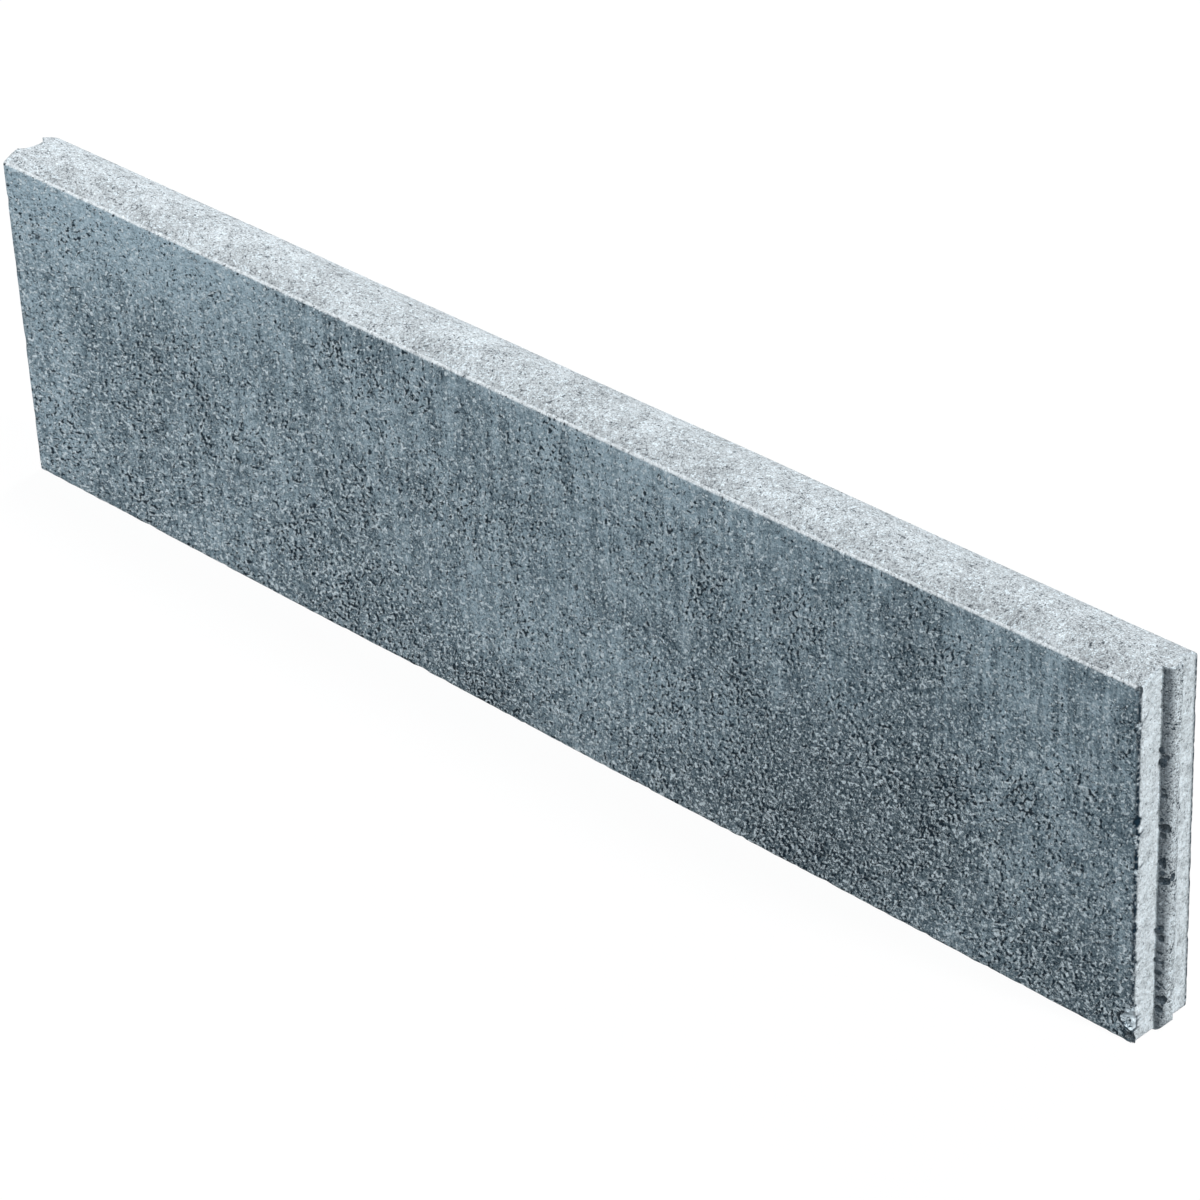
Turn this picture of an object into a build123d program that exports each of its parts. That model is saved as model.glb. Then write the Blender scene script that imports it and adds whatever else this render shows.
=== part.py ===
from build123d import *
import os

# Precast concrete kerb stone, standing upright as it is laid.
# X runs along the kerb with the tongue at +X, Y goes through its thickness with the show face at -Y,
# and the origin is at the middle of the base, halfway between the two butting ends.

# Sizes of the stone
laying_length = 1000.0  # from butting end to butting end, without the tongue
kerb_height = 250.0  # base to the crest of the head
kerb_thickness = 50.0

# Head: a shallow crown across the thickness, with both long arrises eased
crown_rise = 7.5  # from the arris to the crest
arris_radius = 2.0

# Tongue on the right end: a half-round rib up the whole end, tapered off at its foot
tongue_width = 13.0
tongue_projection = 7.5
tongue_foot_height = 11.0

# Groove in the left end: takes the tongue of the next stone, with room for mortar and for laying to a curve
groove_side_room = 4.5  # beside the tongue at the mouth
groove_end_room = 1.0  # past the crest of the tongue

groove_mouth = tongue_width + 2 * groove_side_room
groove_depth = tongue_projection + groove_end_room
groove_radius = (groove_mouth**2 / 4 + groove_depth**2) / (2 * groove_depth)

right_end = laying_length / 2
left_end = -laying_length / 2
arris_height = kerb_height - crown_rise
overall_length = laying_length + tongue_projection

with BuildPart() as kerb_stone:
    # Cross-section with its crowned head, run along the stone and the tongue
    with BuildSketch(Plane.YZ.offset(left_end)) as section:
        with BuildLine():
            Polyline(
                (-kerb_thickness / 2, arris_height),
                (-kerb_thickness / 2, 0),
                (kerb_thickness / 2, 0),
                (kerb_thickness / 2, arris_height),
            )
            ThreePointArc(
                (kerb_thickness / 2, arris_height),
                (0, kerb_height),
                (-kerb_thickness / 2, arris_height),
            )
        make_face()
        fillet(section.vertices().group_by(Axis.Y)[-1], radius=arris_radius)
    extrude(amount=overall_length)

    # Plan: the butting ends, with the tongue on one and the groove in the other
    with BuildSketch() as plan:
        Rectangle(laying_length, kerb_thickness)
        with Locations((right_end, 0)):
            Ellipse(tongue_projection, tongue_width / 2)
        with Locations((left_end + groove_depth - groove_radius, 0)):
            Circle(groove_radius, mode=Mode.SUBTRACT)
    extrude(amount=kerb_height, mode=Mode.INTERSECT)

    # Side view: the foot of the tongue tapers back to the butting end
    with BuildSketch(Plane.XZ) as side:
        with BuildLine():
            Polyline(
                (right_end + tongue_projection, tongue_foot_height),
                (right_end + tongue_projection, kerb_height),
                (left_end, kerb_height),
                (left_end, 0),
                (right_end, 0),
            )
            EllipticalCenterArc(
                (right_end, tongue_foot_height),
                tongue_projection,
                tongue_foot_height,
                start_angle=-90,
                arc_size=90,
            )
        make_face()
    extrude(amount=kerb_thickness, both=True, mode=Mode.INTERSECT)

kerb_stone.part.label = "kerb_stone"

os.makedirs("parts", exist_ok=True)
export_step(kerb_stone.part, "parts/kerb_stone.step")
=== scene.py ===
import math

import bmesh
import bpy
import numpy as np
from mathutils import Matrix, Vector, noise


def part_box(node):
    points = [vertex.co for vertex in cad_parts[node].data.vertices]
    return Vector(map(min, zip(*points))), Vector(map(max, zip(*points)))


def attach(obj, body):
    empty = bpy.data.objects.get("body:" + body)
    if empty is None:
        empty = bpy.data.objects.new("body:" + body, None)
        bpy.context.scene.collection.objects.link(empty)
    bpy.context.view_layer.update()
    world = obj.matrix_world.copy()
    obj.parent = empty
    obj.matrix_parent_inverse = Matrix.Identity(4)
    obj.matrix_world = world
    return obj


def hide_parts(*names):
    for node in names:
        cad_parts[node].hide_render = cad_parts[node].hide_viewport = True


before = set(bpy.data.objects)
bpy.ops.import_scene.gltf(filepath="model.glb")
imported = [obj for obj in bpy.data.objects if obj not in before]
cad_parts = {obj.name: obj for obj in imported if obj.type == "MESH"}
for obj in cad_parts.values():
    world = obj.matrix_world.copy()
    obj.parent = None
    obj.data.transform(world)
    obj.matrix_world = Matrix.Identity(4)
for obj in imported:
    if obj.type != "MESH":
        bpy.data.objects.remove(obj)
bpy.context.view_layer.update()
stoneLow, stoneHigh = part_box("kerb_stone")
mm = 0.001
print("frame loaded")


# Kerb stone: sizes of the casting, the cutting of its skin, its wear and its painted arris highlight
stone = {
    "tongueProjection": 7.5 * mm,
    "tongueWidth": 13 * mm,
    "tongueFoot": 11 * mm,
    "tongueFullness": 2.2,  # 2 is an ellipse, more stands the flanks up straighter
    "grooveMouth": 22 * mm,
    "grooveDepth": 8.5 * mm,
    "crownRise": 7.5 * mm,
    "edgeRadius": 1.3 * mm,  # the rounding every cast edge has
    "cutsAlong": 329,
    "cutsUp": 83,
    "tongueSteps": 14,
    "endBlend": 24 * mm,  # how far the skin is drawn to follow the tongue and the groove
    "relief": 0.28 * mm,
    "reliefGrain": 11 * mm,
    "waviness": 0.5 * mm,
    "wavinessGrain": 170 * mm,
    "tongueRelief": 0.22 * mm,  # added on the tongue, which is left the roughest
    "tongueGrain": 4 * mm,
    "highlightStrip": 1.6 * mm,  # strip of painted highlight along the arrises of the head
    "highlightFade": 0.5 * mm,
    "calmDepth": 28 * mm,  # the smoother band under the head
    "calmFade": 20 * mm,
    "fineEdge": 7 * mm,  # how far the finer cutting reaches: by the near edge, the spall and the tongue
    "fineSpall": (18 * mm, 12 * mm, 33 * mm),
    "fineTongue": 7 * mm,
    "spallLump": 0.3,  # unevenness of the broken hollows
    "crushedLump": 0.4,
    "holeLump": 0.35,
    "smoothHead": 0.65,  # how far each part falls short of the roughness of the drawn faces
    "smoothEnd": 0.76,
    "smoothUnderHead": 0.3,
    "coarseTongue": 0.5,  # given back on the tongue
    "sharpAngle": 48,
}

left = stoneLow.x
right = stoneHigh.x - stone["tongueProjection"]
front = stoneLow.y
back = stoneHigh.y
top = stoneHigh.z
half = back

# Bites out of the cast edges: the two faces that meet, the least and most leg and the length along the
# edge in millimetres, and how far painted shade over crumbling reaches beside an upright edge
bites = [
    {"faces": (("x", right), ("y", front)), "legs": (0.7, 4.6), "grain": 5, "shadeReach": 1.3},
    {"faces": (("x", right), ("y", back)), "legs": (0.5, 2.6), "grain": 6, "shadeReach": 2.0},
    {"faces": (("x", left), ("y", front)), "legs": (0.4, 2.4), "grain": 9, "shadeReach": 0.6},
    {"faces": (("x", left), ("y", back)), "legs": (0.4, 2.4), "grain": 9, "shadeReach": 0.6},
    {"faces": (("y", front), ("z", top)), "legs": (0.2, 1.5), "grain": 10},
    {"faces": (("y", back), ("z", top)), "legs": (0.2, 1.5), "grain": 10},
    {"faces": (("y", front), ("z", 0)), "legs": (0.4, 2.2), "grain": 9},
    {"faces": (("y", back), ("z", 0)), "legs": (0.4, 2.2), "grain": 9},
    {"faces": (("x", right), ("z", top)), "legs": (0.5, 2.2), "grain": 8},
    {"faces": (("x", left), ("z", top)), "legs": (0.5, 2.2), "grain": 8},
    {"faces": (("x", right), ("z", 0)), "legs": (0.5, 2.5), "grain": 8},
    {"faces": (("x", left), ("z", 0)), "legs": (0.5, 2.5), "grain": 8},
]

# The spalled corner low on the right, and the holes along the tongue: middle and half-sizes
spalls = [
    {
        "middle": (right + 6 * mm, front - 6 * mm, 16.5 * mm),
        "reach": (16.5 * mm, 11 * mm, 9.5 * mm),
        # its rim gets a painted shadow line
        "rimmed": True,
    },
    {
        "middle": (right - 1 * mm, front - 3 * mm, 24 * mm),
        "reach": (6 * mm, 5 * mm, 4 * mm),
    },
]
crushed = [  # the crumbled corners under the spall and at the head, darkened with painted shade
    {
        "middle": (right - 0.5 * mm, front - 0.5 * mm, 249 * mm),
        "reach": (3 * mm, 2.6 * mm, 6 * mm),
        "mark": 0.8,
    },
    {
        "middle": (right - 1 * mm, front - 0.5 * mm, 3 * mm),
        "reach": (5.5 * mm, 3 * mm, 4.5 * mm),
        "mark": 0.8,
    },
    {
        "middle": (right - 6 * mm, front - 1 * mm, 7 * mm),
        "reach": (3 * mm, 2 * mm, 2.2 * mm),
        "mark": 0.6,
    },
]
tongueHoles = [
    {"middle": (right + 5 * mm, -7 * mm, 190 * mm), "reach": (3 * mm, 2.6 * mm, 2.4 * mm)},
    {"middle": (right + 5.5 * mm, -6.5 * mm, 142 * mm), "reach": (4.6 * mm, 3.8 * mm, 3.4 * mm)},
    {"middle": (right + 4 * mm, -7.5 * mm, 137 * mm), "reach": (3.4 * mm, 3 * mm, 2.6 * mm)},
    {"middle": (right + 5 * mm, -7 * mm, 119 * mm), "reach": (3.6 * mm, 2.4 * mm, 4.2 * mm)},
    {"middle": (right + 5.5 * mm, -6.5 * mm, 106 * mm), "reach": (4.4 * mm, 3.8 * mm, 3 * mm)},
    {"middle": (right + 8 * mm, -1.5 * mm, 108 * mm), "reach": (1.8 * mm, 2.2 * mm, 3 * mm)},
    {"middle": (right + 4.5 * mm, -7 * mm, 66 * mm), "reach": (3.4 * mm, 2.6 * mm, 3 * mm)},
    {"middle": (right + 5.5 * mm, -6.5 * mm, 23 * mm), "reach": (4.2 * mm, 4 * mm, 3.2 * mm)},
    {"middle": (right + 4 * mm, -7 * mm, 16 * mm), "reach": (3.4 * mm, 3 * mm, 2.8 * mm)},
]
# Smaller holes down both flanks of the tongue
crumbled = {
    "count": 24,
    "least": 0.9 * mm,
    "most": 2.4 * mm,
    "out": (0.5, 5.5),  # millimetres beyond the end face
    "lowest": 6 * mm,
    "headroom": 14 * mm,
    "seed": 8,
}

# Large pores in the two drawn faces: short chains of pits, thickest in the lower half
pores = {
    "chains": 64,
    "pits": 3,
    "least": 1.3 * mm,
    "most": 2.5 * mm,
    "step": 3.2 * mm,
    "margin": 15 * mm,
    "lowest": 8 * mm,
    "headroom": 40 * mm,
    "fineMargin": 2.2 * mm,  # of the finer cutting around a pore
    "depthShare": 0.75,  # of its size
    "raggedness": 0.6,
    "raggedGrain": 1.8 * mm,
    "seed": 5,
}


def cutAlong(bm, axis, cuts):
    runs = [e for e in bm.edges if abs((e.verts[1].co - e.verts[0].co).normalized()[axis]) > 0.999]
    bmesh.ops.subdivide_edges(bm, edges=runs, cuts=cuts, use_grid_fill=True)


def refine(bm, inside, cuts):
    edges = [e for e in bm.edges if inside(e.verts[0].co) and inside(e.verts[1].co)]
    bmesh.ops.subdivide_edges(bm, edges=edges, cuts=cuts, use_grid_fill=True)


def acrossLines():
    # lines across the thickness, close together on the tongue and with one at each lip of the groove
    flat = half - stone["edgeRadius"]
    lip = stone["grooveMouth"] / 2
    root = stone["tongueWidth"] / 2
    turn = np.linspace(0, math.pi / 2, stone["tongueSteps"] // 2 + 1)
    brow = flat - 0.3 * mm  # inside the strip of painted highlight along the arris
    shoulder = np.linspace(lip, flat - 2.2 * mm, 3)[1:]
    outward = np.concatenate([root * np.sin(turn), np.linspace(root, lip, 3)[1:], shoulder, [brow, flat]])
    return np.concatenate([-outward[:0:-1], outward])  # the middle line is shared


def porePlaces():
    pick = np.random.default_rng(pores["seed"])
    places = []
    for n in range(pores["chains"]):
        x = pick.uniform(left + pores["margin"], right - pores["margin"])
        z = pores["lowest"] + (top - pores["headroom"]) * pick.uniform() ** 1.4
        y = front if n % 2 == 0 else back
        for k in range(pick.integers(1, pores["pits"] + 1)):
            size = pores["least"] + (pores["most"] - pores["least"]) * pick.uniform() ** 1.5
            places.append((x, y, z, size))
            x += pores["step"] * pick.uniform(-1, 1)
            z += pores["step"] * pick.uniform(-0.7, 0.7)
    return places


def crumbledHoles():
    pick = np.random.default_rng(crumbled["seed"])
    holes = []
    for n in range(crumbled["count"]):
        size = pick.uniform(crumbled["least"], crumbled["most"])
        sideways = (-1 if n % 3 else 1) * (stone["tongueWidth"] / 2 + pick.uniform(-0.5, 0.6) * size)
        outward = right + pick.uniform(*crumbled["out"]) * mm
        upward = pick.uniform(crumbled["lowest"], top - crumbled["headroom"])
        reach = (size * 1.2, size, size * pick.uniform(0.8, 1.5))
        holes.append({"middle": (outward, sideways, upward), "reach": reach})
    return holes


def castBlock():
    # a block with rounded edges, its skin cut into an even grid
    bm = bmesh.new()
    bmesh.ops.create_cube(bm, size=1)
    bmesh.ops.scale(bm, vec=(right - left, back - front, top), verts=bm.verts)
    bmesh.ops.translate(bm, vec=((left + right) / 2, (front + back) / 2, top / 2), verts=bm.verts)
    bmesh.ops.bevel(
        bm, geom=list(bm.edges), offset=stone["edgeRadius"], offset_type="OFFSET",
        segments=2, profile=0.5, affect="EDGES", material=-1,
    )
    lines = acrossLines()
    cutAlong(bm, 0, stone["cutsAlong"])
    cutAlong(bm, 2, stone["cutsUp"])
    cutAlong(bm, 1, len(lines) - 2)
    even = np.linspace(lines[0], lines[-1], len(lines))
    for v in bm.verts:
        if abs(v.co.y) < lines[-1] + 0.01 * mm:
            v.co.y = np.interp(v.co.y, even, lines)
    print("block cut:", len(bm.faces), "faces")
    return bm


def refineSkin(bm, places):
    # a finer grid where the stone is broken: the near vertical edge, the spall, the tongue and the pores
    edge, tongue = stone["fineEdge"], stone["fineTongue"]
    long, thick, high = stone["fineSpall"]
    refine(bm, lambda p: p.x > right - edge and p.y < front + edge, 1)
    refine(bm, lambda p: p.x > right - long and p.y < front + thick and p.z < high, 2)
    refine(bm, lambda p: p.x > right - 1 * mm and abs(p.y) < tongue, 2)
    grown = [(Vector((x, y, z)), size + pores["fineMargin"]) for x, y, z, size in places]
    perMetre = 50  # cells along the stone, so that only the near pores are tried
    cells = {}
    for middle, reach in grown:
        for i in range(-1, 2):
            cell = (round(middle.x * perMetre) + i, middle.y > 0)
            cells.setdefault(cell, []).append((middle, reach))

    def nearPore(p):
        near = cells.get((round(p.x * perMetre), p.y > 0), ())
        return any((p - middle).length < reach for middle, reach in near)

    refine(bm, nearPore, 2)
    print("skin refined:", len(bm.faces), "faces")


def biteEdges(co):
    # chips away each cast edge by an uneven chamfer, and says how much went in all, and how far painted
    # shade reaches beside the upright edges
    gone = np.zeros(len(co))
    crumbleShade = np.zeros(len(co))
    axes = {"x": 0, "y": 1, "z": 2}
    for number, bite in enumerate(bites):
        (axisA, placeA), (axisB, placeB) = bite["faces"]
        a, b = axes[axisA], axes[axisB]
        along = 3 - a - b
        least, most = (leg * mm for leg in bite["legs"])
        inA, inB = abs(co[:, a] - placeA), abs(co[:, b] - placeB)
        near = np.nonzero(inA + inB < most * 1.5)[0]
        towardA = 1 if placeA <= co[:, a].mean() else -1
        towardB = 1 if placeB <= co[:, b].mean() else -1
        for i in near:
            s = co[i, along] / (bite["grain"] * mm)
            coarse = noise.noise(Vector((s, 7.3 * number, 0.5)))
            fine = noise.noise(Vector((s * 2.3, 3.1, number)))
            leg = least + (most - least) * max(0.0, coarse + 0.5 * fine) ** 1.3
            short = leg - inA[i] - inB[i]
            if along == 2:
                crumbleShade[i] = max(crumbleShade[i], min(1.0, short / mm + bite["shadeReach"]))
            if short > 0:
                co[i, a] += towardA * short / 2
                co[i, b] += towardB * short / 2
                gone[i] = max(gone[i], min(1.0, short / (1.2 * mm)))
    return gone, crumbleShade


def scoop(co, hollows, gone, lump, rim=None):
    # pushes the skin back onto a lumpy ellipsoid wherever it lies inside one, and marks the rim some leave
    # for a painted shadow line
    for n, hollow in enumerate(hollows):
        middle, reach = np.array(hollow["middle"]), np.array(hollow["reach"])
        local = (co - middle) / reach
        for i in np.nonzero((local**2).sum(1) < 1.6)[0]:
            ray = Vector(local[i])
            size = 1 + lump * noise.noise(ray.normalized() * 1.7 + Vector((n, 0.3, 9.1)))
            if ray.length < size:
                co[i] = middle + reach * np.array(ray.normalized() * size)
                gone[i] = hollow.get("mark", 1.0)
            atRim = abs(ray.length - size - 0.04) < 0.075
            if "rimmed" in hollow and atRim and ray.x < -0.3 and ray.z < 0.3:
                rim[i] = 1.0


def sinkPores(co, places):
    # a ragged pit under each large pore, with its depth kept for painted shade inside it
    hollow = np.zeros(len(co))
    grain = pores["raggedGrain"]
    for n, (x, y, z, size) in enumerate(places):
        inward = 1 if y < 0 else -1
        far = np.hypot(co[:, 0] - x, co[:, 2] - z)
        for i in np.nonzero((far < size * 1.4) & (abs(co[:, 1] - y) < 0.5 * mm))[0]:
            lump = noise.noise(Vector((co[i, 0] / grain, n, co[i, 2] / grain)))
            reach = size * (1 + pores["raggedness"] * lump)
            deep = max(0.0, 1 - (far[i] / reach) ** 2)
            co[i, 1] += inward * pores["depthShare"] * size * deep
            hollow[i] = max(hollow[i], deep)
    return hollow


def tongueAt(y, z):
    full = stone["tongueFullness"]
    inside = np.clip(1 - abs(2 * y / stone["tongueWidth"]) ** full, 0, 1)
    plan = stone["tongueProjection"] * inside ** (1 / full)
    foot = np.clip(1 - z / stone["tongueFoot"], 0, 1)
    return np.minimum(plan, stone["tongueProjection"] * np.sqrt(1 - foot**2))


def grooveAt(y):
    depth, mouth = stone["grooveDepth"], stone["grooveMouth"]
    radius = (mouth**2 / 4 + depth**2) / (2 * depth)
    return np.clip(np.sqrt(np.clip(radius**2 - y**2, 0, None)) - radius + depth, 0, None)


def shapeEnds(co):
    # draws the skin out over the tongue and in along the groove, then crowns the head
    x, y, z = co[:, 0].copy(), co[:, 1].copy(), co[:, 2].copy()
    blend = stone["endBlend"]
    nearRight = np.clip(1 - (right - x) / blend, 0, 1)
    nearLeft = np.clip(1 - (x - left) / blend, 0, 1)
    co[:, 0] = x + tongueAt(y, z) * nearRight + grooveAt(y) * nearLeft
    crownRadius = (half**2 + stone["crownRise"] ** 2) / (2 * stone["crownRise"])
    crown = top - crownRadius + np.sqrt(crownRadius**2 - np.clip(y, -half, half) ** 2)
    co[:, 2] = z * crown / top


def roughen(mesh, co, soft):
    # low relief over the whole skin, weaker where the mould or the stamp left it smooth
    normal = np.empty(len(co) * 3)
    mesh.vertices.foreach_get("normal", normal)
    normal = normal.reshape(-1, 3)
    rise = np.empty(len(co))
    for i, p in enumerate(co):
        v = Vector(p)
        fine = noise.fractal(v / stone["reliefGrain"], 0.8, 2.1, 3)
        wide = noise.noise(v / stone["wavinessGrain"])
        rise[i] = stone["relief"] * fine * soft[i] + stone["waviness"] * wide
        if soft[i] > 1.1:  # only the tongue is this coarse
            rise[i] += stone["tongueRelief"] * noise.fractal(v / stone["tongueGrain"], 0.9, 2, 2)
    co += normal * rise[:, None]
    co[:, 2] = np.maximum(co[:, 2], 0)
    return rise


def setPoints(mesh, co):
    mesh.vertices.foreach_set("co", co.ravel())
    mesh.update()


def keepMask(mesh, name, values):
    mesh.attributes.new(name, "FLOAT", "POINT").data.foreach_set("value", values.astype(np.float32))


# Stains on the show face: place along and up, half-sizes, and how dark (or pale, below nought)
stains = [
    (0.335, 0.150, 0.035, 0.085, 0.70),
    (0.350, 0.070, 0.055, 0.045, 0.85),
    (0.255, 0.060, 0.055, 0.055, 1.45),
    (0.205, 0.020, 0.095, 0.030, 1.20),
    (0.455, 0.025, 0.050, 0.045, 0.95),
    (0.110, 0.225, 0.110, 0.035, -0.45),
    (0.120, 0.125, 0.080, 0.025, 0.30),
    (-0.020, 0.014, 0.060, 0.022, 0.50),
    (-0.180, 0.008, 0.260, 0.035, 0.30),
    (-0.150, 0.110, 0.090, 0.060, 0.25),
    (-0.330, 0.070, 0.060, 0.040, 0.35),
    (-0.120, 0.242, 0.070, 0.014, 0.35),
    (-0.345, 0.165, 0.022, 0.050, 0.25),
    (0.480, 0.190, 0.045, 0.110, 0.10),
    (0.010, 0.075, 0.070, 0.055, -0.30),
    (-0.300, 0.030, 0.055, 0.030, -0.30),
    (-0.380, 0.228, 0.150, 0.040, -1.30),
    (-0.480, 0.130, 0.040, 0.110, -0.40),
    (0.110, 0.060, 0.050, 0.040, -0.10),
]


def stainAt(co):
    total = np.zeros(len(co))
    for x, z, wide, high, dark in stains:
        far = ((co[:, 0] - x) / wide) ** 2 + ((co[:, 2] - z) / high) ** 2
        total += dark * np.exp(-far)
    return np.where(co[:, 1] < 0, total, 0.15 - 0.6 * total)  # the hidden back is stained otherwise


def makeStone():
    places = porePlaces()
    bm = castBlock()
    refineSkin(bm, places)
    mesh = bpy.data.meshes.new("kerb_stone_cast")
    bm.to_mesh(mesh)
    bm.free()
    co = np.empty(len(mesh.vertices) * 3)
    mesh.vertices.foreach_get("co", co)
    co = co.reshape(-1, 3)

    flat = stone["edgeRadius"] + 0.05 * mm
    onHead = np.clip((co[:, 2] - (top - flat)) / stone["edgeRadius"], 0, 1)
    onEnd = np.clip((abs(co[:, 0]) - (right - flat)) / stone["edgeRadius"], 0, 1) * (1 - onHead)
    # where a highlight is painted along the arrises of the head
    arrisHighlight = onHead * np.clip((abs(co[:, 1]) - (half - stone["highlightStrip"])) / stone["highlightFade"], 0, 1)
    onTongue = onEnd * (co[:, 0] > 0) * (abs(co[:, 1]) < stone["tongueWidth"] / 2)
    flankShade = onTongue * np.clip(-0.12 - 160 * co[:, 1], 0.14, 0.95)  # painted shade on the tongue, darkest down its near side
    flankShade *= np.clip((co[:, 1] + stone["tongueWidth"] / 2) / (0.8 * mm), 0.85, 1)
    underHead = np.clip((co[:, 2] - (top - stone["calmDepth"])) / stone["calmFade"], 0, 1)
    underHead = underHead * (1 - onHead) * (1 - onEnd)

    gone, crumbleShade = biteEdges(co)
    hollow = sinkPores(co, places)
    fresh = np.zeros(len(co))
    scoop(co, spalls, fresh, stone["spallLump"], hollow)
    crumbleShade *= 1 - fresh
    scoop(co, crushed, crumbleShade, stone["crushedLump"])
    shapeEnds(co)
    scoop(co, tongueHoles + crumbledHoles(), hollow, stone["holeLump"])
    setPoints(mesh, co)
    coarse = 1 - stone["smoothHead"] * onHead - stone["smoothEnd"] * onEnd
    coarse = coarse + stone["coarseTongue"] * onTongue - stone["smoothUnderHead"] * underHead
    rise = roughen(mesh, co, coarse + onTongue)
    setPoints(mesh, co)

    keepMask(mesh, "head", onHead)
    keepMask(mesh, "end", onEnd)
    keepMask(mesh, "coarse", coarse)
    # painted shade down the tongue's near flank
    keepMask(mesh, "flankShade", flankShade)
    keepMask(mesh, "broken", gone)
    keepMask(mesh, "fresh", fresh)
    # painted shade on crumbled upright edges and corners
    keepMask(mesh, "crumbleShade", crumbleShade)
    # pits, holes and the spall's rim, darkened with painted shade in the finish
    keepMask(mesh, "hollow", hollow)
    # painted highlight along the arrises of the head
    keepMask(mesh, "arrisHighlight", arrisHighlight)
    keepMask(mesh, "stain", stainAt(co))
    mesh.polygons.foreach_set("use_smooth", [True] * len(mesh.polygons))
    mesh.set_sharp_from_angle(angle=math.radians(stone["sharpAngle"]))
    piece = bpy.data.objects.new("kerb_stone_cast", mesh)
    bpy.context.scene.collection.objects.link(piece)
    triangles = sum(len(p.vertices) - 2 for p in mesh.polygons)
    print("stone shaped:", triangles, "triangles, relief up to", round(abs(rise).max() / mm, 2), "mm")
    return piece


class Wire:
    # a socket in a sum: every operator adds one Math node
    def __init__(self, graph, socket):
        self.graph = graph
        self.socket = socket

    def sum(self, operation, first, second, clamp=False):
        settings = {"operation": operation, "use_clamp": clamp}
        return self.graph.node("Math", settings, {0: first, 1: second})

    def __add__(self, other):
        return self.sum("ADD", self, other)

    __radd__ = __add__

    def __sub__(self, other):
        return self.sum("SUBTRACT", self, other)

    def __rsub__(self, other):
        return self.sum("SUBTRACT", other, self)

    def __mul__(self, other):
        return self.sum("MULTIPLY", self, other)

    __rmul__ = __mul__

    def clamped(self):
        return self.sum("ADD", self, 0.0, clamp=True)

    def most(self, other):
        return self.sum("MAXIMUM", self, other)

    def ramp(self, low, high):
        settings = {"interpolation_type": "SMOOTHSTEP"}
        return self.graph.node("MapRange", settings, {"Value": self, "From Min": low, "From Max": high})


class Graph:
    def __init__(self, tree):
        self.tree = tree
        tree.nodes.clear()

    def node(self, kind, settings=None, values=None, out=0):
        made = self.tree.nodes.new("ShaderNode" + kind)
        for name, value in (settings or {}).items():
            setattr(made, name, value)
        for name, value in (values or {}).items():
            if isinstance(value, Wire):
                self.tree.links.new(value.socket, made.inputs[name])
            else:
                made.inputs[name].default_value = value
        return Wire(self, made.outputs[out]) if made.outputs else None

    def mask(self, name):
        return self.node("Attribute", {"attribute_name": name}, out="Fac")

    def noise(self, place, scale, detail=2.0, rough=0.5):
        values = {"Vector": place, "Scale": scale, "Detail": detail, "Roughness": rough}
        return self.node("TexNoise", None, values)

    def stretch(self, place, by):
        return self.node("Mapping", None, {"Vector": place, "Scale": by})

    def shift(self, place, by):
        return self.node("Mapping", None, {"Vector": place, "Location": by})

    def tint(self, blend, amount, first, second):
        settings = {"data_type": "RGBA", "blend_type": blend}
        return self.node("Mix", settings, {0: amount, 6: first, 7: second}, out=2)

    def grey(self, value):
        return self.node("CombineColor", None, {0: value, 1: value, 2: value})


# Concrete: its colours, and the fineness of its grain in lumps to the metre
concrete = {
    "pressed": (0.468, 0.494, 0.513, 1),
    "moulded": (0.580, 0.625, 0.650, 1),
    # drawn faces: their own darker tone, deepened and blued with painted shade
    "drawnDark": (0.185, 0.258, 0.306, 1),
    "drawnPale": (0.381, 0.500, 0.576, 1),
    # pale colour of crumbs and fresh breaks, also of the painted highlights on pit lips
    "crumbAndHighlight": (0.84, 0.94, 1.0, 1),
    # painted highlight along the arrises
    "highlight": (0.94, 0.975, 1.0, 1),
    # near-black of painted shade in pores, holes and crevices, also the darkest grain
    "shadedPore": (0.006, 0.019, 0.032, 1),
    "sand": 905,
    "grit": 330,
    "pit": 370,
    "crumbs": 370,
    "mottle": 110,
    "patch": 38,
    "cloud": 8,
    "drift": 18,  # of the pores
    "drag": 230,  # marks of the mould, drawn out up the faces
    "lean": 0.25,  # fall of the grit along the stone
    "widening": 0.36,  # of the grain towards the left
    "roughness": 0.9,
    "specular": 0.12,
}


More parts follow.
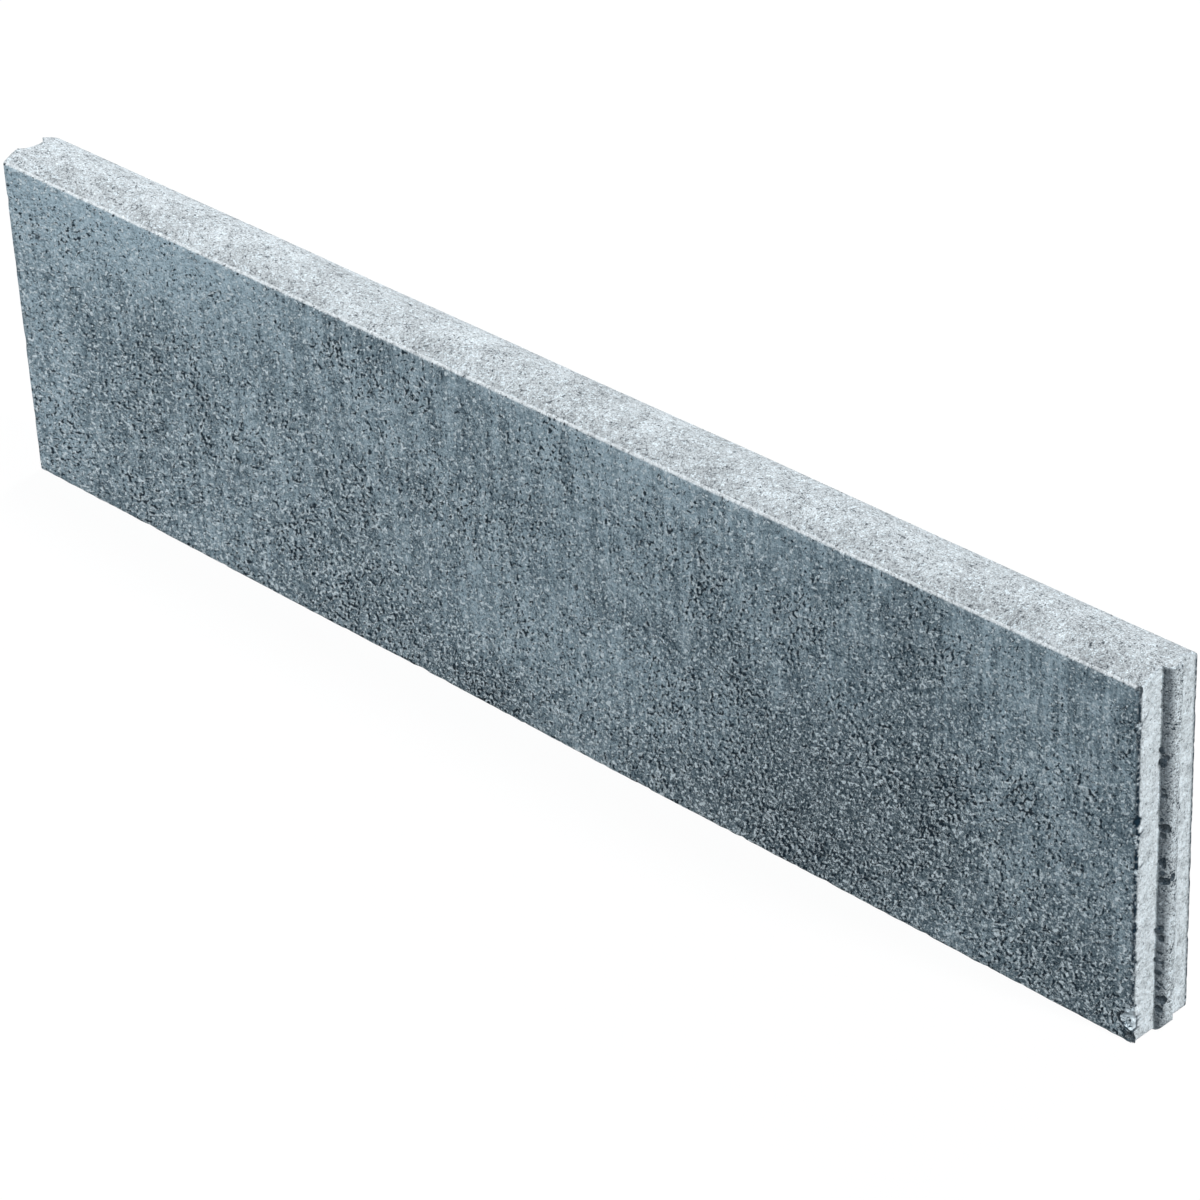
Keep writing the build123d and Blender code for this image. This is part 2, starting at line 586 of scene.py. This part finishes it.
def concreteFinish():
    material = bpy.data.materials.new("concrete")
    material.use_nodes = True
    g = Graph(material.node_tree)
    place = g.node("TexCoord", out="Object")
    along = g.node("SeparateXYZ", None, {0: place}, out="X")
    across = g.node("SeparateXYZ", None, {0: place}, out="Y")
    upward = g.node("SeparateXYZ", None, {0: place}, out="Z")
    far = (0 - along).clamped()
    wider = g.node("CombineXYZ", None, {"X": concrete["widening"] * far * far})
    loose = g.node("VectorMath", {"operation": "ADD"}, {0: place, 1: wider})
    slant = g.node("CombineXYZ", None, {"Z": -concrete["lean"] * along})
    leaning = g.node("VectorMath", {"operation": "ADD"}, {0: loose, 1: slant})
    head, end, coarse = g.mask("head"), g.mask("end"), g.mask("coarse")
    side = (1 - head - end).clamped()

    # grain at several sizes, and the marks of the mould drawn up the faces
    sand = g.noise(loose, concrete["sand"], 2, 0.65) - 0.5
    grit = g.noise(leaning, concrete["grit"], 3, 0.65) - 0.5
    cloud = g.noise(place, concrete["cloud"], 4, 0.55) - 0.5
    patch = g.noise(place, concrete["patch"], 3, 0.6) - 0.5
    mottle = g.noise(place, concrete["mottle"], 3, 0.6) - 0.5
    drag = g.noise(g.stretch(place, (1, 1, 0.05)), concrete["drag"], 2, 0.6) - 0.5

    # drifts of pores darkened with painted shade, with painted highlights on their lips, and crumbs that
    # stand out between them, both thicker towards the base
    drift = g.noise(g.shift(place, (3.1, 0, 0)), concrete["drift"], 3, 0.6) - 0.5
    low = side * (0.025 - 0.16 * upward)
    limit = 0.315 + 0.03 * head + (0.07 - 0.03 * far) * side + low + (0.1 + 0.2 * side) * drift
    pit = g.noise(g.shift(leaning, (0, 0, 1.7)), concrete["pit"], 3, 0.5)
    # the pit pattern moved down and left, for the painted highlight on each pit's lit lip
    besidePit = g.noise(g.shift(leaning, (0.0018, 0, 1.7013)), concrete["pit"], 3, 0.5)
    lump = g.noise(g.shift(leaning, (0, 5.3, 0)), concrete["crumbs"], 3, 0.5)
    shadedPore = (limit - pit).ramp(0.0, 0.02)
    # painted highlight: a pale lip on the lower left of each pit, where its wall would catch light from
    # the upper right
    lip = (limit - 0.01 - besidePit).ramp(0.0, 0.02)
    crumbAndHighlight = (lump - 0.584 + low).ramp(0.0, 0.03)
    # the crumbs take in the painted highlight of the pit lips
    crumbAndHighlight = crumbAndHighlight.most(0.6 * side * lip)

    # colour: cloudy drawn faces with stains, darker and bluer than the paler pressed head and ends, partly
    # their own tone and partly painted shade
    stain = g.mask("stain")
    tone = 0.45 + 1.9 * cloud + 2.7 * patch + 3.2 * drag - 1.1 * stain
    colour = g.tint("MIX", tone.clamped(), concrete["drawnDark"], concrete["drawnPale"])
    colour = g.tint("MIX", end, colour, concrete["moulded"])
    colour = g.tint("MIX", head, colour, concrete["pressed"])
    # painted light: the head paler towards its rear slope; also lighter towards the left and patchy, and
    # the ends mottled and darker towards the rear
    shade = 1 + head * (3.6 * across - 0.14 * along + 0.9 * patch) + end * (0.9 * mottle - 1.5 * across)
    shade = shade - side * (0.12 * stain + 0.2 * stain.clamped())
    colour = g.tint("MULTIPLY", 1.0, colour, g.grey(shade))
    ground = 9.2 * sand + 5.6 * grit + 3.2 * mottle
    peaks = 0.57 - 0.3 * side + 0.05 * ground * ground  # mostly calm, with strong extremes
    speckle = (0.15 + 0.85 * coarse) * ground * peaks
    colour = g.tint("MIX", (0 - speckle).clamped(), colour, concrete["shadedPore"])
    colour = g.tint("MIX", 0.95 * speckle.clamped(), colour, concrete["crumbAndHighlight"])
    colour = g.tint("MIX", crumbAndHighlight * (0.4 + 0.55 * side), colour, concrete["crumbAndHighlight"])
    # painted highlight along the arrises of the head, broken up by grit
    colour = g.tint("MIX", g.mask("arrisHighlight") * (0.9 + 3.0 * grit).clamped(), colour, concrete["highlight"])
    colour = g.tint("MIX", 0.4 * g.mask("broken"), colour, concrete["crumbAndHighlight"])
    colour = g.tint("MIX", g.mask("fresh") * (0.5 + 3.5 * grit).clamped(), colour, concrete["crumbAndHighlight"])
    # painted shade in pores, pits, holes and along the spall's rim
    dark = (shadedPore * (0.65 + 0.3 * side)).most(0.9 * g.mask("hollow"))
    # painted shade down the tongue's near flank, broken by mottle and grit
    dark = dark.most(g.mask("flankShade") * (1 + 1.8 * mottle + 2.5 * grit).clamped())
    # painted shade on crumbled upright edges and corners
    dark = dark.most(g.mask("crumbleShade") * (0.95 + 2.5 * mottle + 5.0 * grit).clamped())
    colour = g.tint("MIX", dark, colour, concrete["shadedPore"])

    # height in millimetres
    grain = 0.9 * sand + 1.9 * grit - 2.0 * shadedPore + 1.8 * crumbAndHighlight
    height = (0.2 + 0.8 * coarse) * grain + 0.4 * side * drag
    bump = g.node("Bump", None, {"Strength": 1.0, "Distance": mm, "Height": height})
    shader = g.node("BsdfPrincipled", None, {
        "Base Color": colour,
        "Roughness": concrete["roughness"] + 0.2 * sand,
        "Specular IOR Level": concrete["specular"],
        "Normal": bump,
    })
    g.node("OutputMaterial", None, {"Surface": shader})
    print("concrete finish made:", len(material.node_tree.nodes), "nodes")
    return material


# Studio: a pale floor that the camera sees as white, soft lamps from right and behind, and a weak fill
studio = {
    "floorSize": 12,
    "floorColour": (0.95, 0.95, 0.95, 1),
    "floorBounce": (0.12, 0.125, 0.13, 1),
    "floorWhite": 0.94,
    "skyColour": (0.76, 0.95, 1.05, 1),
    "skyStrength": 0.20,
    "lamps": [
        {"name": "key", "from": (0.80, 0.12, 0.58), "strength": 2.4, "angle": 9},
        {"name": "rake", "from": (0.52, -0.49, 0.70), "strength": 1.8, "angle": 9},
        {"name": "back", "from": (-0.10, 0.72, 0.69), "strength": 1.5, "angle": 14},
    ],
    "fillPlace": (-1.5, -1.8, 0.9),
    "fillAim": (-0.25, 0, 0.12),
    "fillSize": 1.2,
    "fillPower": 14,
}


def seenDirectly(g):
    path = g.node("LightPath", out="Is Camera Ray")
    glossy = g.node("LightPath", out="Is Glossy Ray")
    through = g.node("LightPath", out="Is Transmission Ray")
    return path.most(glossy).most(through)


def makeFloor():
    bm = bmesh.new()
    bmesh.ops.create_grid(bm, x_segments=1, y_segments=1, size=studio["floorSize"] / 2)
    mesh = bpy.data.meshes.new("floor")
    bm.to_mesh(mesh)
    bm.free()
    floor = bpy.data.objects.new("floor", mesh)
    bpy.context.scene.collection.objects.link(floor)
    material = bpy.data.materials.new("studioFloor")
    material.use_nodes = True
    g = Graph(material.node_tree)
    seen = seenDirectly(g)
    colour = g.tint("MIX", seen, studio["floorBounce"], studio["floorColour"])
    plain = g.node("BsdfDiffuse", None, {"Color": colour})
    white = g.node("Emission", None, {"Color": (1, 1, 1, 1), "Strength": 1.0})
    shader = g.node("MixShader", None, {0: studio["floorWhite"] * seen, 1: plain, 2: white})
    g.node("OutputMaterial", None, {"Surface": shader})
    mesh.materials.append(material)


def makeLight():
    world = bpy.data.worlds.new("studio")
    bpy.context.scene.world = world
    world.use_nodes = True
    g = Graph(world.node_tree)
    seen = seenDirectly(g)
    colour = g.tint("MIX", seen, studio["skyColour"], (1, 1, 1, 1))
    strength = studio["skyStrength"] + (1 - studio["skyStrength"]) * seen
    sky = g.node("Background", None, {"Color": colour, "Strength": strength})
    g.node("OutputWorld", None, {"Surface": sky})

    for lamp in studio["lamps"]:
        sun = bpy.data.lights.new(lamp["name"], "SUN")
        sun.energy = lamp["strength"]
        sun.angle = math.radians(lamp["angle"])
        holder = bpy.data.objects.new(lamp["name"], sun)
        holder.rotation_euler = Vector(lamp["from"]).to_track_quat("Z", "Y").to_euler()
        bpy.context.scene.collection.objects.link(holder)

    fill = bpy.data.lights.new("fill", "AREA")
    fill.energy = studio["fillPower"]
    fill.size = studio["fillSize"]
    fillLamp = bpy.data.objects.new("fill", fill)
    fillLamp.location = studio["fillPlace"]
    fromStone = Vector(studio["fillPlace"]) - Vector(studio["fillAim"])
    fillLamp.rotation_euler = fromStone.to_track_quat("Z", "Y").to_euler()
    bpy.context.scene.collection.objects.link(fillLamp)


# Camera at the photograph's viewing angle
view = {
    "place": (1.7865, -1.6367, 1.5849),
    "azimuth": 46.741,
    "elevation": 31.821,
    "roll": -2.929,
    "lens": 134.26,
    "sensor": 36,
    "farthest": 100,
}


def makeCamera():
    a, e, r = (math.radians(view[k]) for k in ("azimuth", "elevation", "roll"))
    backward = Vector((math.sin(a) * math.cos(e), -math.cos(a) * math.cos(e), math.sin(e)))
    level = Vector((math.cos(a), math.sin(a), 0))
    upright = backward.cross(level)
    across = math.cos(r) * level + math.sin(r) * upright
    upward = math.cos(r) * upright - math.sin(r) * level
    camera = bpy.data.objects.new("camera", bpy.data.cameras.new("camera"))
    turn = Matrix((across, upward, backward)).transposed().to_4x4()
    camera.matrix_world = Matrix.Translation(view["place"]) @ turn
    camera.data.sensor_width = view["sensor"]
    camera.data.lens = view["lens"]
    camera.data.clip_end = view["farthest"]
    bpy.context.scene.collection.objects.link(camera)
    bpy.context.scene.camera = camera


kerb = makeStone()
kerb.data.materials.append(concreteFinish())
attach(kerb, "root")
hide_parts("kerb_stone")
makeFloor()
makeLight()
makeCamera()
bpy.context.scene.view_settings.view_transform = "Standard"
print("studio set")
